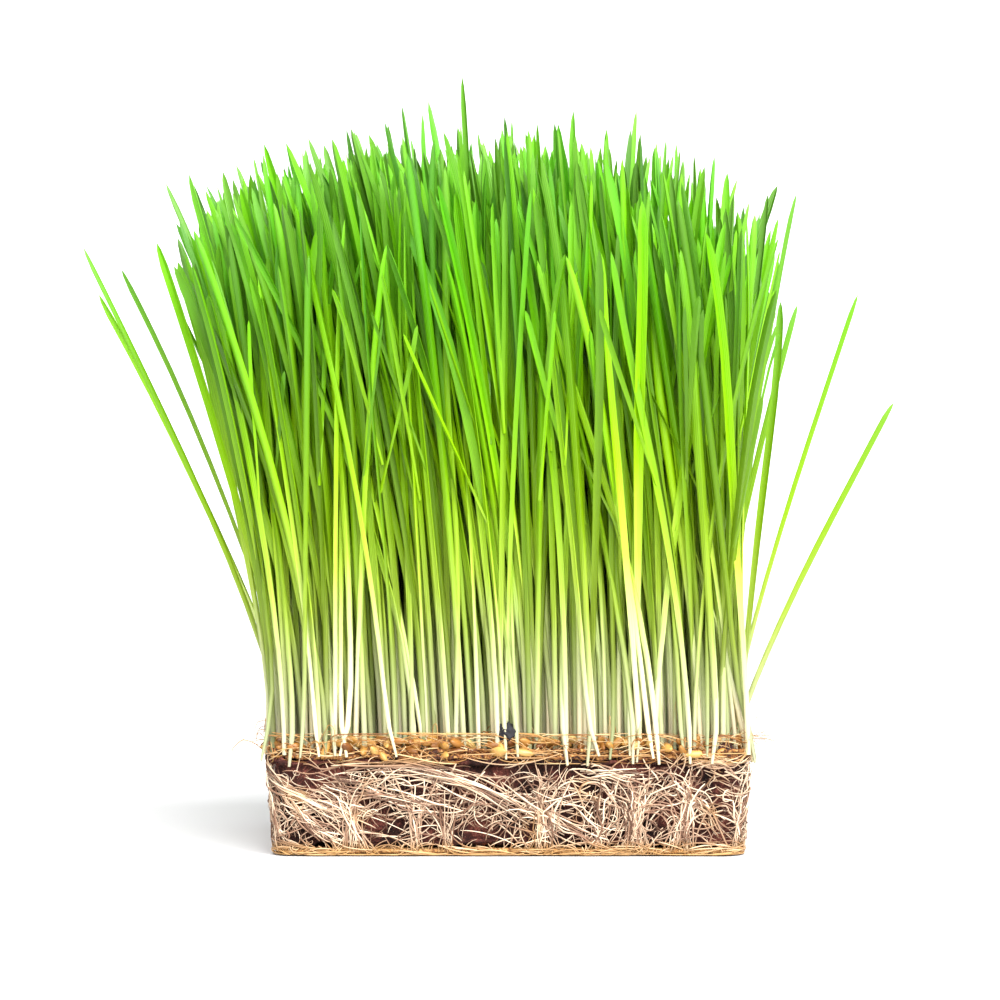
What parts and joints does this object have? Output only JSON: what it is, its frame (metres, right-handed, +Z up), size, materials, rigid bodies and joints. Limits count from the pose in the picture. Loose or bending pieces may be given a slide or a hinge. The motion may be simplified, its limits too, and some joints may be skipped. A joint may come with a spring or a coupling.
{
  "type": "barley grass block",
  "caption": "Root-bound block of tray-grown barley grass: upright green blades on pale stems, a golden layer of sprouted grain, and dark soil wrapped in pale roots.",
  "frame": {"origin": "centre of the block's flat lower face, which rests on the floor", "axes": "+X along the block's width, +Y into its depth away from the viewer, +Z up"},
  "size_m": [0.3, 0.204, 0.2886],
  "materials": {
    "soil": "damp crumbly dark red-brown growing medium, matt, coarse grain",
    "root": "fine cream to tan root strands, matt, slightly moist",
    "grain": "golden barley husks, satin, fine lengthwise creases",
    "grass": "fresh leaf blades, white-green at the foot to deep green at the tip, satin, fine lengthwise veins"
  },
  "bodies": {
    "root": {"soil_block": "soil", "root_net": "root", "seed_layer": "grain", "tuft_1_1": "grass", "tuft_1_2": "grass", "tuft_1_3": "grass", "tuft_1_4": "grass", "tuft_1_5": "grass", "tuft_2_1": "grass", "tuft_2_2": "grass", "tuft_2_3": "grass", "tuft_2_4": "grass", "tuft_2_5": "grass", "tuft_3_1": "grass", "tuft_3_2": "grass", "tuft_3_3": "grass", "tuft_3_4": "grass", "tuft_3_5": "grass"}
  },
  "joints": []
}
